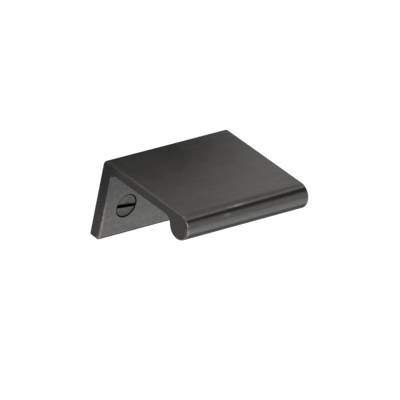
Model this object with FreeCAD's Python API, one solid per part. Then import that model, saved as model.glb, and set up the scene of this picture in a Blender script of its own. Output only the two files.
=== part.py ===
import FreeCAD, Part
import math
import os

# Tab pull for a drawer or door front: one solid bar with an L-shaped section and a
# round bead along its front edge, held by two slotted countersunk wood screws.
# The origin is on the mounting face, midway between the screws and level with them.
# X runs along the pull, Y points into the front that carries it, and Z is up.

# Driving dimensions of the pull, in millimetres
width = 50.8
plate_height = 27.3
plate_thickness = 4.4
projection = 41.7  # mounting face to the front of the bead
tab_thickness = 3.45
bead_diameter = 8.75
ridge_radius = 1.9  # where the back of the plate turns into the top
foot_radius = 0.85  # both lower edges of the plate
corner_radius = 1.2  # under the tab, against the plate
throat_radius = 3.0  # under the tab, behind the bead
edge_break = 0.6  # softened outline of the two ends

# Driving dimensions of the screws and of their holes, in millimetres and degrees
screw_spacing = 32.0
screw_drop = 16.8  # top of the pull down to the screws
head_diameter = 7.6
head_land = 0.25  # straight rim of the head, above its cone
head_angle = 82.0  # included angle of the head and of its countersink
sink_margin = 0.35  # ring of countersink left open round the head
shank_diameter = 3.6  # plain stretch of the screw, inside the plate
thread_diameter = 4.16  # over the crests of the thread
hole_clearance = 0.22  # all round the thread where it passes through the plate
screw_length = 12.7  # top of the head to the point
point_length = 4.0
slot_width = 1.25
slot_depth = 1.1
left_slot_turn = 6.0
right_slot_turn = -17.0

# How far a cutting tool reaches past the face it starts from
overrun = 1.0
# Points closer than this are the same point
same_point = 1e-6

# Heights and radii that follow from the driving dimensions
top = screw_drop
bottom = top - plate_height
underside = top - tab_thickness
plate_front = -plate_thickness
bead_radius = bead_diameter / 2
head_radius = head_diameter / 2
shank_radius = shank_diameter / 2
thread_radius = thread_diameter / 2
hole_radius = thread_radius + hole_clearance
sink_radius = head_radius + sink_margin
cone_slope = math.tan(math.radians(head_angle / 2))

screws = [(-screw_spacing / 2, left_slot_turn), (screw_spacing / 2, right_slot_turn)]
inward = FreeCAD.Vector(0, 1, 0)


def section_arc(y, z, radius, start, end):
    """An arc of the section about (y, z), with angles in degrees from +Y towards +Z."""
    points = []
    for degrees in (start, (start + end) / 2, end):
        angle = math.radians(degrees)
        points.append(FreeCAD.Vector(-width / 2, y + radius * math.cos(angle), z + radius * math.sin(angle)))
    return Part.Arc(*points).toShape()


def section_arcs():
    """The rounded stretches of the section, in order up the back, over the top and down the front."""
    bead_y = bead_radius - projection
    bead_z = top - bead_radius
    # The throat's hollow arc touches the bead and the underside of the tab
    throat_z = underside - throat_radius
    throat_rise = throat_z - bead_z
    throat_run = math.sqrt((bead_radius + throat_radius) ** 2 - throat_rise ** 2)
    meeting = math.degrees(math.atan2(throat_rise, throat_run))
    foot_z = bottom + foot_radius
    return [
        section_arc(-foot_radius, foot_z, foot_radius, -90, 0),
        section_arc(-ridge_radius, top - ridge_radius, ridge_radius, 0, 90),
        section_arc(bead_y, bead_z, bead_radius, 90, 360 + meeting),
        section_arc(bead_y + throat_run, throat_z, throat_radius, 180 + meeting, 90),
        section_arc(plate_front - corner_radius, underside - corner_radius, corner_radius, 90, 0),
        section_arc(plate_front + foot_radius, foot_z, foot_radius, 180, 270),
    ]


def joined_outline(arcs):
    """A closed outline of the arcs, with a straight line wherever two of them don't meet."""
    edges = []
    for arc, following in zip(arcs, arcs[1:] + arcs[:1]):
        edges.append(arc)
        end = arc.valueAt(arc.LastParameter)
        start = following.valueAt(following.FirstParameter)
        if end.distanceToPoint(start) > same_point:
            edges.append(Part.LineSegment(end, start).toShape())
    return Part.Wire(edges)


def screw_hole(x):
    """The space that a countersunk hole takes out of the plate."""
    mouth = FreeCAD.Vector(x, plate_front, 0)
    outside = mouth - inward * overrun
    sink_depth = (sink_radius - hole_radius) / cone_slope
    outer_radius = sink_radius + overrun * cone_slope
    sink = Part.makeCone(outer_radius, hole_radius, sink_depth + overrun, outside, inward)
    hole = Part.makeCylinder(hole_radius, plate_thickness + overrun, mouth, inward)
    return sink.fuse(hole)


def pull_body():
    """The bar with its end outlines softened and its two screw holes cut."""
    section = Part.Face(joined_outline(section_arcs()))
    bar = section.extrude(FreeCAD.Vector(width, 0, 0))
    end_edges = [edge for edge in bar.Edges if abs(edge.Vertexes[0].X - edge.Vertexes[-1].X) < same_point]
    body = bar.makeFillet(edge_break, end_edges)
    for x, slot_turn in screws:
        body = body.cut(screw_hole(x))
    return body


def screw(x, slot_turn):
    """A slotted countersunk wood screw, seated in the countersink at x."""
    head_top = plate_front + sink_margin / cone_slope - head_land
    cone_top = head_top + head_land
    cone_end = cone_top + (head_radius - shank_radius) / cone_slope
    run_out = thread_radius - shank_radius
    tip = head_top + screw_length
    outline = [
        (0, head_top),
        (head_radius, head_top),
        (head_radius, cone_top),
        (shank_radius, cone_end),
        (shank_radius, -run_out),
        (thread_radius, 0),
        (thread_radius, tip - point_length),
        (0, tip),
        (0, head_top),
    ]
    half_section = Part.Face(Part.makePolygon([FreeCAD.Vector(x + radius, y, 0) for radius, y in outline]))
    blank = half_section.revolve(FreeCAD.Vector(x, 0, 0), inward, 360)

    slot_reach = head_radius + overrun
    slot = Part.makeBox(2 * slot_reach, slot_depth + overrun, slot_width)
    slot.translate(FreeCAD.Vector(-slot_reach, head_top - overrun, -slot_width / 2))
    # A positive turn lowers the slot's right end, seen from the front
    slot.rotate(FreeCAD.Vector(0, 0, 0), inward, slot_turn)
    slot.translate(FreeCAD.Vector(x, 0, 0))
    return blank.cut(slot)


os.makedirs("parts", exist_ok=True)
pull_body().exportStep("parts/pull_body.step")
Part.makeCompound([screw(x, slot_turn) for x, slot_turn in screws]).exportStep("parts/mounting_screws.step")
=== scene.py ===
import math

import bpy
from mathutils import Matrix, Vector


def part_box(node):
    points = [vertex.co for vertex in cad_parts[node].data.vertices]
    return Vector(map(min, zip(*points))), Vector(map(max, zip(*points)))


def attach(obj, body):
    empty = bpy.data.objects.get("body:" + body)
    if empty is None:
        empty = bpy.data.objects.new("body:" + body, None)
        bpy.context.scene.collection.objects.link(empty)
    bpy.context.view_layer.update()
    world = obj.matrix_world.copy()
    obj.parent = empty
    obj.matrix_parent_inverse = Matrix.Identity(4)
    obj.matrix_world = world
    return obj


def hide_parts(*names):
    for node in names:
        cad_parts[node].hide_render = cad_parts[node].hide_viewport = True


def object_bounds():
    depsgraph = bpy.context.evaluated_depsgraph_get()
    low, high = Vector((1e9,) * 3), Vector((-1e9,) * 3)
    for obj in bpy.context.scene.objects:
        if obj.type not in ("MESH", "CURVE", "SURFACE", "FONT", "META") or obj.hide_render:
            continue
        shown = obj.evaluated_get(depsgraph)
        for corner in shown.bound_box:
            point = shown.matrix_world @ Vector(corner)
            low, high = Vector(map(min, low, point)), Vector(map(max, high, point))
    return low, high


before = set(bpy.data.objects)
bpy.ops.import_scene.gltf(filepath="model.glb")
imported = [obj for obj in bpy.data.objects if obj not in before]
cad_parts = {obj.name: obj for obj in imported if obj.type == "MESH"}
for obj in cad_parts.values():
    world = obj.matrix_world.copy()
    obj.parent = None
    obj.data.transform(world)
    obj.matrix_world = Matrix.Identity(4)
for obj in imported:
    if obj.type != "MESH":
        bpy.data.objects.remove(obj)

cad_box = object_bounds()

# Sizes are in metres and angles in degrees. A pair such as STRIP_LEFT or RECESS_SHADE_Z is where something
# fades in: it is off at the first value and fully on at the second.

# Camera, with its focal length in pixels of the square image
CAMERA_AIM = Vector((-0.00009, -0.01990, 0.00680))
CAMERA_AZIMUTH = -46.44
CAMERA_ELEVATION = 28.40
CAMERA_ROLL = 11.53
CAMERA_DISTANCE = 1.971
FOCAL_PIXELS = 6309
IMAGE_SIDE = 400

# Floor, and how bright metal sees it: (Y, brightness) pairs from behind the pull to the front
FLOOR_DROP = 0.1
FLOOR_SIDE = 6.0
FLOOR_WHITE = 0.95
FLOOR_PAINT = (0.9, 0.9, 0.9)
FLOOR_SHADE = (0.25, 0.25, 0.25)
FLOOR_LEVELS = [
    (0.50, 0.60), (0.36, 0.55), (0.25, 0.17), (0.16, 0.14), (0.15, 0.18), (0.11, 0.275), (-0.01, 0.16),
    (-0.07, 0.12), (-0.10, 0.38), (-0.13, 0.94), (-0.20, 0.97), (-0.42, 0.84), (-1.5, 0.72),
]
# Metal sees the floor in front of the pull in a cool white, and behind it in plain white
FLOOR_TINT = (0.945, 0.967, 1.0)
PLAIN_WHITE = (1.0, 1.0, 1.0)
PLAIN_Y = (-0.1, 0.0)
# A pale strip of the floor beside the pull's left end
STRIP_LEVEL = 0.75
STRIP_LEFT = (-0.13, -0.10)
STRIP_RIGHT = (-0.02, -0.045)
STRIP_BACK = (0.03, 0.0)

# Studio round the floor: (Z of the direction, brightness) pairs. The other ranges here are of directions too.
STUDIO_LEVELS = [
    (0.0, 0.75), (0.29, 0.74), (0.45, 0.66), (0.52, 0.52),
    (0.60, 0.13), (0.80, 0.10), (0.92, 0.60), (1.0, 0.65),
]
# What shade leaves of it behind the pull: above the horizon, and down to it at the back right
STUDIO_SHADE = 0.07
SHADE_Y = (-0.2, 0.5)
SHADE_Z = (0.2, 0.4)
SHADE_TOP_Z = (0.92, 0.82)
BACK_RIGHT_X = (0.25, 0.5)
BACK_RIGHT_Y = (0.5, 0.7)
# A pale ceiling at the back left
CEILING_LEVEL = 0.60
CEILING_X = (0.4, -0.1)
CEILING_Y = (-0.35, 0.3)
CEILING_Z = (0.3, 0.6)

# Key softbox above the pull. Its brightness is read off (metres from its middle towards the front,
# brightness) pairs, times (X, share) pairs.
KEY_CENTRE = (0.165, 0.068, 0.117)
KEY_SIZE = (0.195, 0.40)
KEY_TURN = -62.4
KEY_LEVELS = [
    (-0.0975, 0.58), (-0.06, 0.66), (-0.045, 0.66), (-0.03, 0.63), (-0.012, 0.60),
    (0.04, 0.58), (0.055, 0.86), (0.068, 1.12), (0.086, 0.05), (0.0975, 0.0),
]
KEY_ACROSS = [
    (-0.02, 0.1), (0.03, 0.3), (0.055, 0.74), (0.088, 0.73), (0.10, 0.62), (0.108, 0.64),
    (0.125, 0.89), (0.14, 1.02), (0.15, 1.0), (0.165, 0.87), (0.22, 0.85),
]
# A dark flag covers its back left part, and lets some light through towards the left
FLAG_X = (0.167, 0.161)
FLAG_Y = (0.103, 0.114)
FLAG_THIN = 0.62
FLAG_FULL_X = (0.095, 0.130)

# Fill softbox beside the camera
FILL_CENTRE = (-0.7, -0.9, 0.7)
FILL_AIM = (0.0, -0.02, 0.0)
FILL_SIZE = (0.8, 0.8)
FILL_LEVEL = 1.5

# Screws: what the frame's box doesn't tell
HEAD_LAND = 0.00025
HEAD_ANGLE = 82.0
HEAD_ROUNDING = 0.00012
ROUNDING_STEPS = 4
SINK_MARGIN = 0.00035
SHANK_RADIUS = 0.0018
THREAD_RADIUS = 0.00208
CORE_RADIUS = 0.0015
THREAD_PITCH = 0.00169
THREAD_START = -0.0004
POINT_LENGTH = 0.004
SLOT_WIDTH = 0.00125
SLOT_DEPTH = 0.0011
SLOT_OVERRUN = 0.00076
SLOT_ROUNDING = 0.00005
SLOT_TURNS = {-1: 6.0, 1: -17.0}
SCREW_SEGMENTS = 72
# Edges sharper than the first angle are softened, and sharper than the second are shaded as edges
SOFTEN_ANGLE = 50.0
SHARP_ANGLE = 35.0
# One turn of the thread: (share of the pitch, share of the ridge's height) pairs
THREAD_RIDGE = [(0.0, 0.0), (0.45, 0.0), (0.66, 1.0), (0.74, 1.0)]

# Noise keeps within about this range
NOISE_RANGE = (0.3, 0.7)
# Each noise: features per metre along each axis, detail, and roughness of the detail
BLOTCHES = ((110, 160, 160), 4.0, 0.6)
SPECKS = ((1100, 1100, 1100), 2.0, 0.5)
RUBBING = ((45, 1500, 1500), 2.0, 0.6)
SWELL = ((40, 70, 70), 1.0, 0.5)
PATCHES = ((700, 700, 700), 3.0, 0.65)
SCREW_BLOTCHES = ((500, 500, 500), 4.0, 0.6)
SCREW_SPECKS = ((1900, 1900, 1900), 2.0, 0.5)

# Finish of the pull: the patina from blotch to blotch, and what its streaks and specks multiply it by
PATINA_DARK = (0.150, 0.1458, 0.1362)
PATINA_LIGHT = (0.162, 0.1578, 0.1473)
PATINA_ROUGHNESS = (0.18, 0.205)
STREAK_RANGE = (0.955, 1.045)
SPECK_RANGE = (0.95, 1.05)
RUBBING_DEPTH = 0.0000015
SWELL_DEPTH = 0.000018
# The plate is what lies behind a range of Y and doesn't face up; it is mottled, and darker towards the tab:
# darker patina there and a painted shade under the tab
PLATE_Y = (-0.009, -0.004)
PLATE_UP = (0.97, 0.7)
PLATE_MOTTLING = 0.11
PATINA_RECESS_AND_SHADE = (0.097, 0.0952, 0.0924)
RECESS_SHADE_Z = (-0.008, 0.011)
# The end outlines, found by how far they lean to the side, are rubbed paler towards the front: wear and a
# painted highlight. At the back those that face up are as dark as the recess: a painted shade that hides
# their highlight.
PATINA_RUBBED_AND_HIGHLIGHT = (0.270, 0.262, 0.250)
LEAN_FROM_FACE = (0.1, 0.5)
LEAN_FROM_END = (0.99, 0.85)
SHADED_EDGE_Y = (-0.016, -0.006)
SHADED_EDGE_UP = (0.1, 0.4)
RUBBED_HIGHLIGHT_PATCHES = (0.2, 0.5)
RUBBED_HIGHLIGHT_Y = (-0.010, -0.026)
RUBBED_HIGHLIGHT_SHARE = 0.6
# Places rubbed through to the metal, several of them painted highlights along edges: centre, reach along each
# axis, and how far the patina is gone.
# The fade is in shares of the reach.
WORN_BRONZE_AND_HIGHLIGHT = (0.335, 0.298, 0.268)
WORN_HIGHLIGHT_PATCHES = (0.3, 0.55)
WORN_HIGHLIGHT_FADE = (1.0, 0.2)
WORN_AND_HIGHLIGHT_SPOTS = [
    ((-0.0252, -0.0043, -0.0096), (0.0012, 0.0012, 0.0020), 1.0),
    ((-0.0252, -0.0043, -0.0050), (0.0009, 0.0009, 0.0095), 0.7),
    ((0.0, -0.0041, -0.0101), (0.0400, 0.0012, 0.0014), 0.2),
    ((-0.0254, -0.0095, 0.0158), (0.0010, 0.0035, 0.0010), 0.12),
    ((-0.0252, -0.0388, 0.0165), (0.0008, 0.0012, 0.0006), 1.0),
    ((-0.0252, -0.0413, 0.0116), (0.0010, 0.0014, 0.0032), 1.0),
    ((-0.0040, -0.0393, 0.0163), (0.0050, 0.0006, 0.0006), 1.0),
    ((-0.0087, -0.0409, 0.0149), (0.0020, 0.0008, 0.0008), 1.0),
]
# Grime and painted shade, in the countersinks on the pull, and in the slot and under the head on the screws
GRIME_AND_SHADE = (0.008, 0.008, 0.007)
GRIME_AND_SHADE_ROUGHNESS = 0.3
SINK_EDGE = (0.00007, -0.00005)
SINK_Y = (-0.0005, -0.0012)
BELOW_HEAD_TOP = (0.00005, 0.0003)
BEFORE_THREAD_Y = (0.0, -0.0006)

# Finish of the screws
SCREW_DARK = (0.106, 0.101, 0.089)
SCREW_LIGHT = (0.146, 0.139, 0.123)
SCREW_ROUGHNESS = (0.28, 0.38)
SCREW_SPECK_RANGE = (0.78, 1.26)
SCREW_RELIEF = 0.000008

screws_low, screws_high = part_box("mounting_screws")
head_radius = screws_high.z
head_top = screws_low.y
screw_tip = screws_high.y
screw_offset = screws_high.x - head_radius
sink_radius = head_radius + SINK_MARGIN


def make_camera():
    azimuth = math.radians(CAMERA_AZIMUTH)
    elevation = math.radians(CAMERA_ELEVATION)
    roll = math.radians(CAMERA_ROLL)
    back = Vector((
        math.sin(azimuth) * math.cos(elevation),
        -math.cos(azimuth) * math.cos(elevation),
        math.sin(elevation),
    ))
    level_right = Vector((math.cos(azimuth), math.sin(azimuth), 0))
    level_up = back.cross(level_right)
    right = level_right * math.cos(roll) + level_up * math.sin(roll)
    up = level_up * math.cos(roll) - level_right * math.sin(roll)
    data = bpy.data.cameras.new("camera")
    data.lens = FOCAL_PIXELS / IMAGE_SIDE * data.sensor_width
    camera = bpy.data.objects.new("camera", data)
    rotation = Matrix((right, up, back)).transposed().to_4x4()
    camera.matrix_world = Matrix.Translation(CAMERA_AIM + back * CAMERA_DISTANCE) @ rotation
    bpy.context.scene.collection.objects.link(camera)
    bpy.context.scene.camera = camera


def new_tree(owner):
    owner.use_nodes = True
    owner.node_tree.nodes.clear()
    return owner.node_tree


def add(tree, kind, sockets, **settings):
    """A node with its settings made, and each socket given a value or linked to another node's output."""
    node = tree.nodes.new(kind)
    for name, value in settings.items():
        setattr(node, name, value)
    for socket, value in sockets.items():
        if isinstance(value, bpy.types.NodeSocket):
            tree.links.new(value, node.inputs[socket])
        else:
            node.inputs[socket].default_value = value
    return node


def math_of(tree, operation, *values):
    return add(tree, "ShaderNodeMath", dict(enumerate(values)), operation=operation).outputs[0]


def vector_of(tree, operation, first, second, output="Vector"):
    return add(tree, "ShaderNodeVectorMath", {0: first, 1: second}, operation=operation).outputs[output]


def product(tree, *values):
    total = values[0]
    for value in values[1:]:
        total = math_of(tree, "MULTIPLY", total, value)
    return total


def largest(tree, *values):
    total = values[0]
    for value in values[1:]:
        total = math_of(tree, "MAXIMUM", total, value)
    return total


def rise(tree, value, span, low=0.0, high=1.0):
    """Low up to the span's first value, high from its second, and a smooth step between; it may run down."""
    sockets = {"Value": value, "From Min": span[0], "From Max": span[1], "To Min": low, "To Max": high}
    return add(tree, "ShaderNodeMapRange", sockets, interpolation_type="SMOOTHSTEP").outputs[0]


def levels(tree, value, pairs):
    """A brightness read off (value, brightness) pairs, with straight runs between them."""
    first, last = pairs[0][0], pairs[-1][0]
    share = add(tree, "ShaderNodeMapRange", {"Value": value, "From Min": first, "From Max": last}).outputs[0]
    curve = add(tree, "ShaderNodeValToRGB", {0: share})
    stops = curve.color_ramp.elements
    for position, brightness in pairs[1:-1]:
        stops.new((position - first) / (last - first))
    for stop, (position, brightness) in zip(stops, pairs):
        stop.color = (brightness, brightness, brightness, 1)
    return curve.outputs[0]


def split(tree, vector):
    return add(tree, "ShaderNodeSeparateXYZ", {0: vector}).outputs


def noise(tree, place, stretch, detail, roughness):
    """Noise with as many features per metre along each axis as stretch says."""
    scaled = vector_of(tree, "MULTIPLY", place, stretch)
    sockets = {"Vector": scaled, "Scale": 1.0, "Detail": detail, "Roughness": roughness}
    return add(tree, "ShaderNodeTexNoise", sockets).outputs["Fac"]


def blend(tree, factor, first, second):
    """A colour mix; each colour is a triple or another node's output."""
    colors = [value if isinstance(value, bpy.types.NodeSocket) else (*value, 1) for value in (first, second)]
    sockets = {0: factor, 6: colors[0], 7: colors[1]}
    return add(tree, "ShaderNodeMix", sockets, data_type="RGBA").outputs[2]


def bump(tree, height, depth, under=None):
    """Surface relief, depth metres from the lowest to the highest value, on top of another one if given."""
    sockets = {"Height": height, "Distance": depth}
    if under:
        sockets["Normal"] = under
    return add(tree, "ShaderNodeBump", sockets).outputs[0]


def metal_output(tree, color, roughness, normal):
    sockets = {"Base Color": color, "Metallic": 1.0, "Roughness": roughness, "Normal": normal}
    shader = add(tree, "ShaderNodeBsdfPrincipled", sockets)
    add(tree, "ShaderNodeOutputMaterial", {"Surface": shader.outputs[0]})


def screw_distance(tree, x, z):
    """Distance from the nearer screw's axis."""
    aside = math_of(tree, "SUBTRACT", math_of(tree, "ABSOLUTE", x), screw_offset)
    squares = math_of(tree, "ADD", product(tree, aside, aside), product(tree, z, z))
    return math_of(tree, "SQRT", squares)


def worn_and_highlight_spots(tree, place):
    """How far the patina is gone at the listed places, fading to 0 at their reach; several are painted
    highlights along edges.
    """
    spots = []
    for centre, reach, wear in WORN_AND_HIGHLIGHT_SPOTS:
        away = vector_of(tree, "DIVIDE", vector_of(tree, "SUBTRACT", place, centre), reach)
        distance = add(tree, "ShaderNodeVectorMath", {0: away}, operation="LENGTH").outputs["Value"]
        spots.append(rise(tree, distance, WORN_HIGHLIGHT_FADE, 0.0, wear))
    return largest(tree, *spots)


def grime_and_shade_in_sinks(tree, x, y, z):
    """1 on the walls of the countersinks and holes, except near the back; grime and painted shade go there.
    """
    edge = [sink_radius + margin for margin in SINK_EDGE]
    return product(tree, rise(tree, screw_distance(tree, x, z), edge), rise(tree, y, SINK_Y))


def patina_color(tree, blotches, specks, rubbing, patches, plate, z):
    """Patina with its blotches, streaks and specks, mottled on the plate and darker there towards the tab:
    darker patina and a painted shade under the tab.
    """
    color = blend(tree, rise(tree, blotches, NOISE_RANGE), PATINA_DARK, PATINA_LIGHT)
    # Darker patina on the plate towards the tab, partly a painted shade under the tab
    color = blend(tree, product(tree, plate, rise(tree, z, RECESS_SHADE_Z)), color, PATINA_RECESS_AND_SHADE)
    streaks = rise(tree, rubbing, NOISE_RANGE, *STREAK_RANGE)
    mottling = product(tree, plate, rise(tree, patches, NOISE_RANGE, -PLATE_MOTTLING, PLATE_MOTTLING))
    fine = product(
        tree, streaks, rise(tree, specks, NOISE_RANGE, *SPECK_RANGE), math_of(tree, "ADD", mottling, 1.0))
    return vector_of(tree, "MULTIPLY", color, fine)


def bronze_material():
    """Dark patina, finely rubbed along the pull, and worn to the metal at a few edges and spots; the rubbed
    and worn edges carry painted highlights, the back edges and the plate under the tab a painted shade, the
    countersinks grime and painted shade.
    """
    material = bpy.data.materials.new("patinated_bronze")
    tree = new_tree(material)
    coordinates = add(tree, "ShaderNodeTexCoord", {})
    place = coordinates.outputs["Object"]
    x, y, z = split(tree, place)
    normal = split(tree, coordinates.outputs["Normal"])

    blotches = noise(tree, place, *BLOTCHES)
    specks = noise(tree, place, *SPECKS)
    rubbing = noise(tree, place, *RUBBING)
    patches = noise(tree, place, *PATCHES)

    plate = product(tree, rise(tree, y, PLATE_Y), rise(tree, normal["Z"], PLATE_UP))
    color = patina_color(tree, blotches, specks, rubbing, patches, plate, z)

    lean = math_of(tree, "ABSOLUTE", normal["X"])
    end_edge = product(tree, rise(tree, lean, LEAN_FROM_FACE), rise(tree, lean, LEAN_FROM_END))
    # Painted shade: end edges at the back that face up are darkened to the recess colour
    shaded_back_edges = product(tree, end_edge, rise(tree, y, SHADED_EDGE_Y), rise(tree, normal["Z"], SHADED_EDGE_UP))
    color = blend(tree, shaded_back_edges, color, PATINA_RECESS_AND_SHADE)
    # End edges rubbed paler towards the front: wear, and partly a painted highlight
    rubbed_and_highlight_along = rise(tree, y, RUBBED_HIGHLIGHT_Y, 0.0, RUBBED_HIGHLIGHT_SHARE)
    rubbed_and_highlight = product(tree, end_edge, rise(tree, patches, RUBBED_HIGHLIGHT_PATCHES), rubbed_and_highlight_along)
    color = blend(tree, rubbed_and_highlight, color, PATINA_RUBBED_AND_HIGHLIGHT)
    # Worn spots to the bronze, several of them painted highlights along edges
    worn_and_highlight = product(tree, worn_and_highlight_spots(tree, place), rise(tree, patches, WORN_HIGHLIGHT_PATCHES))
    color = blend(tree, worn_and_highlight, color, WORN_BRONZE_AND_HIGHLIGHT)
    # Grime and painted shade on the countersink walls
    grime_and_shade = grime_and_shade_in_sinks(tree, x, y, z)
    color = blend(tree, grime_and_shade, color, GRIME_AND_SHADE)

    roughness = rise(tree, blotches, NOISE_RANGE, *PATINA_ROUGHNESS)
    roughness = math_of(tree, "ADD", roughness, product(tree, grime_and_shade, GRIME_AND_SHADE_ROUGHNESS))
    relief = bump(tree, noise(tree, place, *SWELL), SWELL_DEPTH)
    relief = bump(tree, rubbing, RUBBING_DEPTH, relief)
    metal_output(tree, color, roughness, relief)
    return material


def screw_material():
    """Turned bronze with a thinner, greener patina, and grime with painted shade in the slot and under the
    head's rim.
    """
    material = bpy.data.materials.new("screw_metal")
    tree = new_tree(material)
    place = add(tree, "ShaderNodeTexCoord", {}).outputs["Object"]
    y = split(tree, place)["Y"]
    blotches = noise(tree, place, *SCREW_BLOTCHES)
    specks = noise(tree, place, *SCREW_SPECKS)
    color = blend(tree, rise(tree, blotches, NOISE_RANGE), SCREW_DARK, SCREW_LIGHT)
    color = vector_of(tree, "MULTIPLY", color, rise(tree, specks, NOISE_RANGE, *SCREW_SPECK_RANGE))
    below_top = [head_top + depth for depth in BELOW_HEAD_TOP]
    # Grime and painted shade in the slot and under the head's rim
    grime_and_shade = product(tree, rise(tree, y, below_top), rise(tree, y, BEFORE_THREAD_Y))
    color = blend(tree, grime_and_shade, color, GRIME_AND_SHADE)
    roughness = rise(tree, blotches, NOISE_RANGE, *SCREW_ROUGHNESS)
    roughness = math_of(tree, "ADD", roughness, product(tree, grime_and_shade, GRIME_AND_SHADE_ROUGHNESS))
    metal_output(tree, color, roughness, bump(tree, blotches, SCREW_RELIEF))
    return material


class Turning:
    """Faces of a piece turned about the Y axis at one X, with points shared where they fall together."""

    def __init__(self, centre_x):
        self.centre_x = centre_x
        self.points = []
        self.known = {}
        self.faces = []

    def point(self, segment, radius, y):
        segment = segment % SCREW_SEGMENTS if radius > 0 else 0
        key = (segment, round(radius, 8), round(y, 8))
        if key not in self.known:
            angle = 2 * math.pi * segment / SCREW_SEGMENTS
            self.known[key] = len(self.points)
            self.points.append((self.centre_x + radius * math.cos(angle), y, radius * math.sin(angle)))
        return self.known[key]

    def face(self, corners):
        kept = [corner for index, corner in enumerate(corners) if corner != corners[index - 1]]
        if len(set(kept)) > 2:
            self.faces.append(kept)

    def strip(self, first, second, segment):
        """Faces between two lines of (radius, y) pairs: the first at this segment, the second at the next."""
        here = [self.point(segment, *pair) for pair in first]
        there = [self.point(segment + 1, *pair) for pair in second]
        for index in range(len(here) - 1):
            self.face([here[index], here[index + 1], there[index + 1], there[index]])


def head_line():
    """Half outline of the screw from the middle of its head to the start of the thread."""
    slope = math.tan(math.radians(HEAD_ANGLE / 2))
    cone_end = head_top + HEAD_LAND + (head_radius - SHANK_RADIUS) / slope
    line = [(0, head_top), (head_radius / 2, head_top)]
    for step in range(ROUNDING_STEPS + 1):
        angle = math.pi / 2 * step / ROUNDING_STEPS
        line.append((
            head_radius - HEAD_ROUNDING * (1 - math.sin(angle)),
            head_top + HEAD_ROUNDING * (1 - math.cos(angle)),
        ))
    line.append((head_radius, head_top + HEAD_LAND))
    line.append((SHANK_RADIUS, cone_end))
    line.append((SHANK_RADIUS, THREAD_START))
    return line


def thread_line(segment):
    """Outline of the threaded stretch at one segment: a ridge for each turn, thinning out to the point."""
    # One turn more at each end, because the ridges shift along with the segment
    turns = math.ceil((screw_tip - THREAD_START) / THREAD_PITCH) + 2
    line = []
    for turn in range(-1, turns):
        for share, height in THREAD_RIDGE:
            y = THREAD_START + THREAD_PITCH * (turn + share + segment / SCREW_SEGMENTS)
            y = min(max(y, THREAD_START), screw_tip)
            slimness = min(1, (screw_tip - y) / POINT_LENGTH)
            swelling = min(1, (y - THREAD_START) / (THREAD_PITCH / 2))
            core = SHANK_RADIUS + (CORE_RADIUS - SHANK_RADIUS) * swelling
            crest = SHANK_RADIUS + (THREAD_RADIUS - SHANK_RADIUS) * swelling
            line.append((slimness * (core + (crest - core) * height), y))
    return line


def cut_slot(screw, centre_x, turn):
    """The slot across the head, cut out and its edges softened."""
    bpy.ops.mesh.primitive_cube_add(size=1)
    cutter = bpy.context.object
    cutter.scale = (2 * (head_radius + SLOT_OVERRUN), 2 * SLOT_DEPTH, SLOT_WIDTH)
    cutter.location = (centre_x, head_top, 0)
    cutter.rotation_euler = (0, math.radians(turn), 0)
    cut = screw.modifiers.new("slot", "BOOLEAN")
    cut.object = cutter
    cut.operation = "DIFFERENCE"
    cut.solver = "EXACT"
    soften = screw.modifiers.new("soften", "BEVEL")
    soften.width = SLOT_ROUNDING
    soften.segments = 2
    soften.limit_method = "ANGLE"
    soften.angle_limit = math.radians(SOFTEN_ANGLE)
    mesh = bpy.data.meshes.new_from_object(screw.evaluated_get(bpy.context.evaluated_depsgraph_get()))
    screw.modifiers.clear()
    screw.data = mesh
    bpy.data.objects.remove(cutter)


def make_screws(material):
    for side, slot_turn in SLOT_TURNS.items():
        centre_x = side * screw_offset
        turning = Turning(centre_x)
        for segment in range(SCREW_SEGMENTS):
            turning.strip(head_line(), head_line(), segment)
            turning.strip(thread_line(segment), thread_line(segment + 1), segment)
        name = "left_screw" if side < 0 else "right_screw"
        mesh = bpy.data.meshes.new(name)
        mesh.from_pydata(turning.points, [], turning.faces)
        mesh.validate()
        screw = bpy.data.objects.new(name, mesh)
        bpy.context.scene.collection.objects.link(screw)
        cut_slot(screw, centre_x, slot_turn)
        screw.data.materials.append(material)
        screw.data.shade_smooth()
        screw.data.set_sharp_from_angle(angle=math.radians(SHARP_ANGLE))
        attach(screw, "root")
        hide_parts("mounting_screws")


def make_world():
    """A studio with a pale horizon, a dim band above it and a pale ceiling, in shade behind the pull."""
    world = bpy.data.worlds.new("studio")
    bpy.context.scene.world = world
    tree = new_tree(world)
    direction = add(tree, "ShaderNodeTexCoord", {}).outputs["Generated"]
    x, y, z = split(tree, direction)
    back_right = product(tree, rise(tree, x, BACK_RIGHT_X), rise(tree, y, BACK_RIGHT_Y))
    shade = product(tree, rise(tree, y, SHADE_Y), largest(tree, rise(tree, z, SHADE_Z), back_right))
    shade = product(tree, shade, rise(tree, z, SHADE_TOP_Z))
    walls = product(tree, levels(tree, z, STUDIO_LEVELS), rise(tree, shade, (0.0, 1.0), 1.0, STUDIO_SHADE))
    back_left = product(tree, rise(tree, x, CEILING_X), rise(tree, y, CEILING_Y))
    ceiling = product(tree, rise(tree, z, CEILING_Z), back_left, CEILING_LEVEL)
    studio = add(tree, "ShaderNodeBackground", {"Strength": largest(tree, walls, ceiling)})
    add(tree, "ShaderNodeOutputWorld", {"Surface": studio.outputs[0]})


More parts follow.
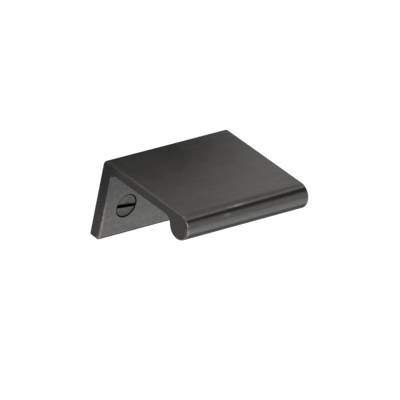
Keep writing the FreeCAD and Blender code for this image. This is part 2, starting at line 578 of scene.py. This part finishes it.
def floor_glow(tree, camera):
    """White to the camera; in metal, bright in front of the pull and in shade behind it."""
    x, y, z = split(tree, add(tree, "ShaderNodeTexCoord", {}).outputs["Object"])
    strip = product(tree, rise(tree, x, STRIP_LEFT), rise(tree, x, STRIP_RIGHT), rise(tree, y, STRIP_BACK))
    strip = product(tree, strip, STRIP_LEVEL)
    strength = product(tree, largest(tree, camera, levels(tree, y, FLOOR_LEVELS), strip), FLOOR_WHITE)
    tint = blend(tree, largest(tree, camera, rise(tree, y, PLAIN_Y)), FLOOR_TINT, PLAIN_WHITE)
    return add(tree, "ShaderNodeEmission", {"Color": tint, "Strength": strength}).outputs[0]


def floor_material():
    material = bpy.data.materials.new("floor_white")
    tree = new_tree(material)
    path = add(tree, "ShaderNodeLightPath", {})
    camera = path.outputs["Is Camera Ray"]
    lit = add(tree, "ShaderNodeBsdfDiffuse", {"Color": (*FLOOR_PAINT, 1)})
    shaded = add(tree, "ShaderNodeBsdfDiffuse", {"Color": (*FLOOR_SHADE, 1)})
    white = add(tree, "ShaderNodeAddShader", {0: floor_glow(tree, camera), 1: shaded.outputs[0]})
    shown = largest(tree, camera, path.outputs["Is Glossy Ray"], path.outputs["Is Transmission Ray"])
    above = add(tree, "ShaderNodeMixShader", {0: shown, 1: lit.outputs[0], 2: white.outputs[0]})
    # A view from below looks through the floor
    below = add(tree, "ShaderNodeNewGeometry", {}).outputs["Backfacing"]
    clear = add(tree, "ShaderNodeBsdfTransparent", {})
    surface = add(tree, "ShaderNodeMixShader", {0: below, 1: above.outputs[0], 2: clear.outputs[0]})
    add(tree, "ShaderNodeOutputMaterial", {"Surface": surface.outputs[0]})
    return material


def make_floor():
    floor_z = cad_box[0].z - FLOOR_DROP
    half = FLOOR_SIDE / 2
    mesh = bpy.data.meshes.new("floor")
    corners = [(-half, -half, floor_z), (half, -half, floor_z), (half, half, floor_z), (-half, half, floor_z)]
    mesh.from_pydata(corners, [], [(0, 1, 2, 3)])
    mesh.materials.append(floor_material())
    floor = bpy.data.objects.new("floor", mesh)
    bpy.context.scene.collection.objects.link(floor)


def make_softbox(name, centre, aim, size, turn, brightness):
    """A rectangular lamp of even brightness, where 1 shows as white in a mirror."""
    data = bpy.data.lights.new(name, "AREA")
    data.shape = "RECTANGLE"
    data.size, data.size_y = size
    data.energy = brightness * math.pi * size[0] * size[1]
    lamp = bpy.data.objects.new(name, data)
    facing = (Vector(aim) - Vector(centre)).to_track_quat("-Z", "Y").to_matrix().to_4x4()
    lamp.matrix_world = Matrix.Translation(centre) @ facing @ Matrix.Rotation(math.radians(turn), 4, "Z")
    lamp.visible_camera = False
    bpy.context.scene.collection.objects.link(lamp)
    return lamp


def make_key():
    """The softbox above the pull, brighter along its front and flagged at the back."""
    below = (KEY_CENTRE[0], KEY_CENTRE[1], 0.0)
    lamp = make_softbox("key", KEY_CENTRE, below, KEY_SIZE, KEY_TURN, 1.0)
    tree = new_tree(lamp.data)
    place = add(tree, "ShaderNodeNewGeometry", {}).outputs["Position"]
    x, y, z = split(tree, place)
    forward = (math.cos(math.radians(KEY_TURN)), math.sin(math.radians(KEY_TURN)), 0.0)
    reach = vector_of(tree, "DOT_PRODUCT", vector_of(tree, "SUBTRACT", place, KEY_CENTRE), forward, "Value")
    open_key = product(tree, levels(tree, reach, KEY_LEVELS), levels(tree, x, KEY_ACROSS))
    flag = product(tree, rise(tree, x, FLAG_X), rise(tree, y, FLAG_Y))
    flag = product(tree, flag, rise(tree, x, FLAG_FULL_X, FLAG_THIN, 1.0))
    strength = product(tree, open_key, math_of(tree, "SUBTRACT", 1.0, flag))
    glow = add(tree, "ShaderNodeEmission", {"Strength": strength})
    add(tree, "ShaderNodeOutputLight", {"Surface": glow.outputs[0]})


bpy.context.scene.view_settings.view_transform = "Standard"
make_camera()
make_world()
make_floor()
make_key()
make_softbox("fill", FILL_CENTRE, FILL_AIM, FILL_SIZE, 0, FILL_LEVEL)

pull_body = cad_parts["pull_body"]
pull_body.data.materials.clear()
pull_body.data.materials.append(bronze_material())
make_screws(screw_material())
